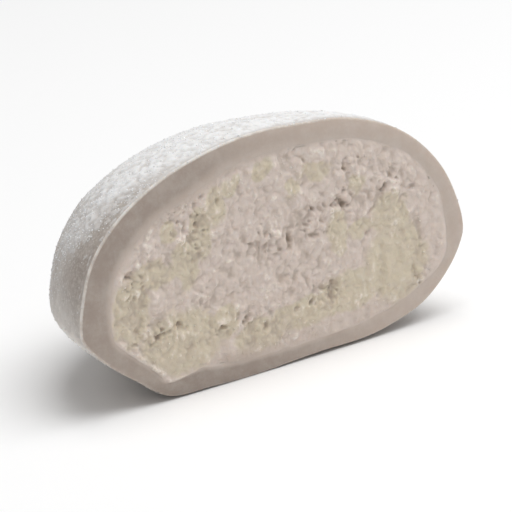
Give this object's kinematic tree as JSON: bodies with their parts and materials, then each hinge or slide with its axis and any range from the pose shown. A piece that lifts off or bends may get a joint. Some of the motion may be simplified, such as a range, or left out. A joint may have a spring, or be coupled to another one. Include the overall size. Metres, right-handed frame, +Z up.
{
  "type": "half mochi rice cake",
  "caption": "Half of a round mochi rice cake, cut to show a wall of soft rice dough around a pale creamy filling; stands on its flat base.",
  "frame": {"origin": "on the table, under the middle of the half cake's bounding box", "axes": "+Z up from the flat base; +X along the cut face, to the right as the cut face is looked at; the cut face looks towards -Y"},
  "size_m": [0.05, 0.025, 0.0272],
  "materials": {
    "rice_dough": "soft grey-beige rice dough, dusted outside with white starch, smooth and slightly sticky where it is cut",
    "cream_filling": "matt, porous and torn where it is cut, cream to pale grey-pink",
    "starch_dust": "dry white starch powder, matt and slightly clumped, lying on the outside of the dough"
  },
  "bodies": {
    "root": {"rice_dough": "rice_dough", "cream_filling": "cream_filling"}
  },
  "joints": []
}
